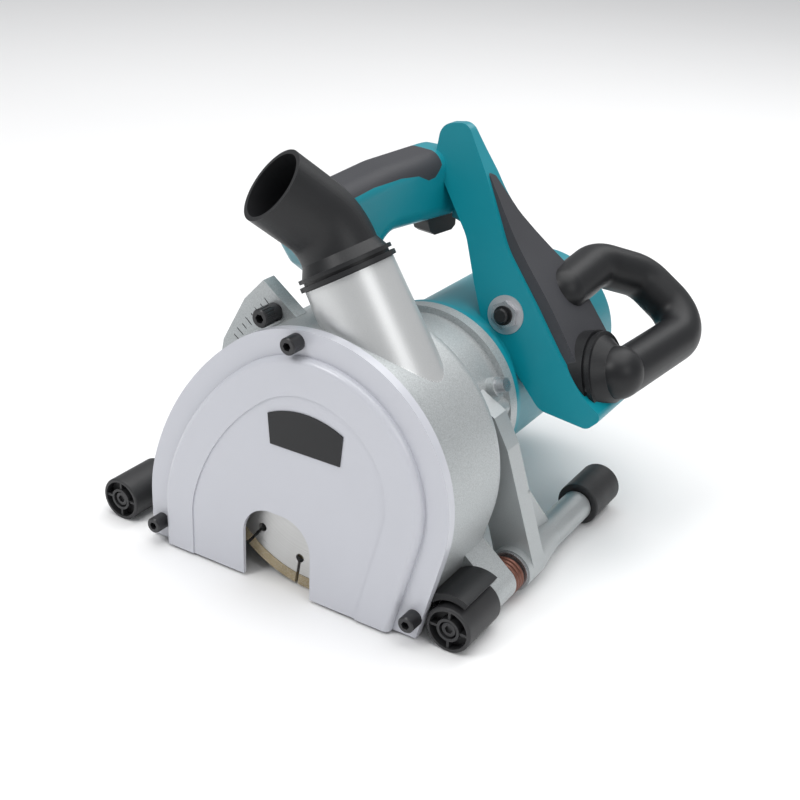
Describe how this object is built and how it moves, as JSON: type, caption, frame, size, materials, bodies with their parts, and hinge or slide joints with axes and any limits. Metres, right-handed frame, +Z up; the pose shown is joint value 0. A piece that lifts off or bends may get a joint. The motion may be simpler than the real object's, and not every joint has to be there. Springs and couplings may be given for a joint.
{
  "type": "wall chaser",
  "caption": "Twin-blade wall chaser: roller-borne cast guard with dust port, plunging motor unit on a sprung hinge, D-handle with trigger, and a loop handle.",
  "frame": {"origin": "centre of the bounding box's footprint, at the level of the rollers' lowest line", "axes": "+Y from the guard's cover back along the blade spindle, +X towards the plunge hinge, +Z up from the wall or floor being cut"},
  "size_m": [0.2986, 0.2894, 0.2558],
  "materials": {
    "cover_paint": "semi-gloss light grey paint",
    "cast_silver": "sand-cast, silver painted, fine grain",
    "machined_steel": "turned and ground",
    "zinc_steel": "bright zinc plated",
    "black_screw": "black oxide",
    "teal_shell": "moulded, fine satin grain",
    "black_shell": "moulded, satin",
    "soft_rubber": "over-moulded grip, fine texture",
    "roller_rubber": "moulded, slightly worn",
    "diamond_rim": "sintered bond with diamond grit",
    "spring_steel": "oiled spring wire",
    "copper": "copper segments and windings",
    "label_silver": "anodised disc",
    "carbon": "pressed carbon",
    "insulation": "phenolic"
  },
  "bodies": {
    "guard": {"guard_casting": "cast_silver", "guard_cover": "cover_paint", "cover_screws": "black_screw", "cover_badge": "black_shell", "roller_fender": "black_shell", "depth_scale": "cast_silver", "dust_port": "cast_silver", "guard_roller_screws": "black_screw", "rear_left_strut": "cast_silver", "pivot_pin": "zinc_steel", "pivot_washer": "zinc_steel", "return_spring": "spring_steel"},
    "motor_unit": {"gearbox_housing": "cast_silver", "gearbox_screws": "zinc_steel", "oil_plug": "zinc_steel", "swing_arm": "cast_silver", "arm_roller_screw": "black_screw", "spindle_bearings": "machined_steel", "motor_bearings": "machined_steel", "motor_housing": "teal_shell", "motor_rear_cap": "teal_shell", "field_stator": "insulation", "brushes": "carbon", "brush_holders": "black_shell", "column_front_shell": "teal_shell", "column_rear_shell": "teal_shell", "column_grip": "soft_rubber", "breaker": "black_shell", "reset_label": "label_silver", "reset_nut": "zinc_steel", "loop_handle": "black_shell", "loop_collar": "black_shell", "handle_half_right": "teal_shell", "handle_half_left": "teal_shell", "handle_grip": "soft_rubber", "switch_body": "black_shell", "cord_gland": "black_shell"},
    "spindle": {"spindle": "machined_steel", "spindle_gear": "machined_steel", "front_blade": "machined_steel", "rear_blade": "machined_steel", "blade_rims": "diamond_rim", "blade_spacer": "machined_steel", "blade_flanges": "machined_steel", "spindle_nut": "zinc_steel"},
    "armature": {"armature_shaft": "machined_steel", "armature_core": "insulation", "commutator": "copper", "pinion": "machined_steel", "fan": "black_shell"},
    "front_left_roller": {"front_left_roller": "roller_rubber"},
    "front_right_roller": {"front_right_roller": "roller_rubber"},
    "rear_left_roller": {"rear_left_roller": "roller_rubber"},
    "rear_right_roller": {"rear_right_roller": "roller_rubber"},
    "trigger": {"trigger": "black_shell"},
    "reset_button": {"reset_button": "black_shell"},
    "depth_stop": {"depth_stop_screw": "black_screw", "depth_stop_nut": "zinc_steel"},
    "dust_elbow": {"dust_elbow": "black_shell"}
  },
  "joints": [
    {"name": "plunge", "type": "hinge", "parent": "guard", "child": "motor_unit", "pos_m": [0.10546, -0.13325, 0.014], "axis": [0, -1, 0], "range_deg": [0, 18], "stiffness_Nm_per_rad": 8, "springref_deg": -57.3},
    {"name": "spindle_spin", "type": "hinge", "parent": "motor_unit", "child": "spindle", "pos_m": [0.01016, -0.13325, 0.076], "axis": [0, 1, 0], "continuous": true},
    {"name": "armature_spin", "type": "hinge", "parent": "motor_unit", "child": "armature", "pos_m": [0.02116, -0.13325, 0.09], "axis": [0, 1, 0], "continuous": true},
    {"name": "front_left_roller_spin", "type": "hinge", "parent": "guard", "child": "front_left_roller", "pos_m": [-0.13534, -0.13325, 0.014], "axis": [0, 1, 0], "continuous": true},
    {"name": "front_right_roller_spin", "type": "hinge", "parent": "guard", "child": "front_right_roller", "pos_m": [0.10546, -0.13325, 0.014], "axis": [0, 1, 0], "continuous": true},
    {"name": "rear_left_roller_spin", "type": "hinge", "parent": "guard", "child": "rear_left_roller", "pos_m": [-0.13534, -0.13325, 0.014], "axis": [0, 1, 0], "continuous": true},
    {"name": "rear_right_roller_spin", "type": "hinge", "parent": "motor_unit", "child": "rear_right_roller", "pos_m": [0.10546, -0.13325, 0.014], "axis": [0, 1, 0], "continuous": true},
    {"name": "trigger_press", "type": "slide", "parent": "motor_unit", "child": "trigger", "axis": [0, 0, 1], "range_m": [0, 0.005], "stiffness_N_per_m": 600, "springref_m": -0.004},
    {"name": "reset_press", "type": "slide", "parent": "motor_unit", "child": "reset_button", "axis": [0, 0.9859, -0.1671], "range_m": [0, 0.003], "stiffness_N_per_m": 800, "springref_m": -0.002},
    {"name": "depth_stop_slide", "type": "hinge", "parent": "guard", "child": "depth_stop", "pos_m": [0.10546, -0.13325, 0.014], "axis": [0, -1, 0], "range_deg": [0, 1.8]},
    {"name": "dust_elbow_swivel", "type": "hinge", "parent": "guard", "child": "dust_elbow", "pos_m": [0.01266, -0.09925, 0.1896], "axis": [-0.5101, 0, 0.8601], "range_deg": [-40, 40]}
  ],
  "couplings": [
    {"joint": "armature_spin", "follows": "spindle_spin", "ratio": -3}
  ]
}
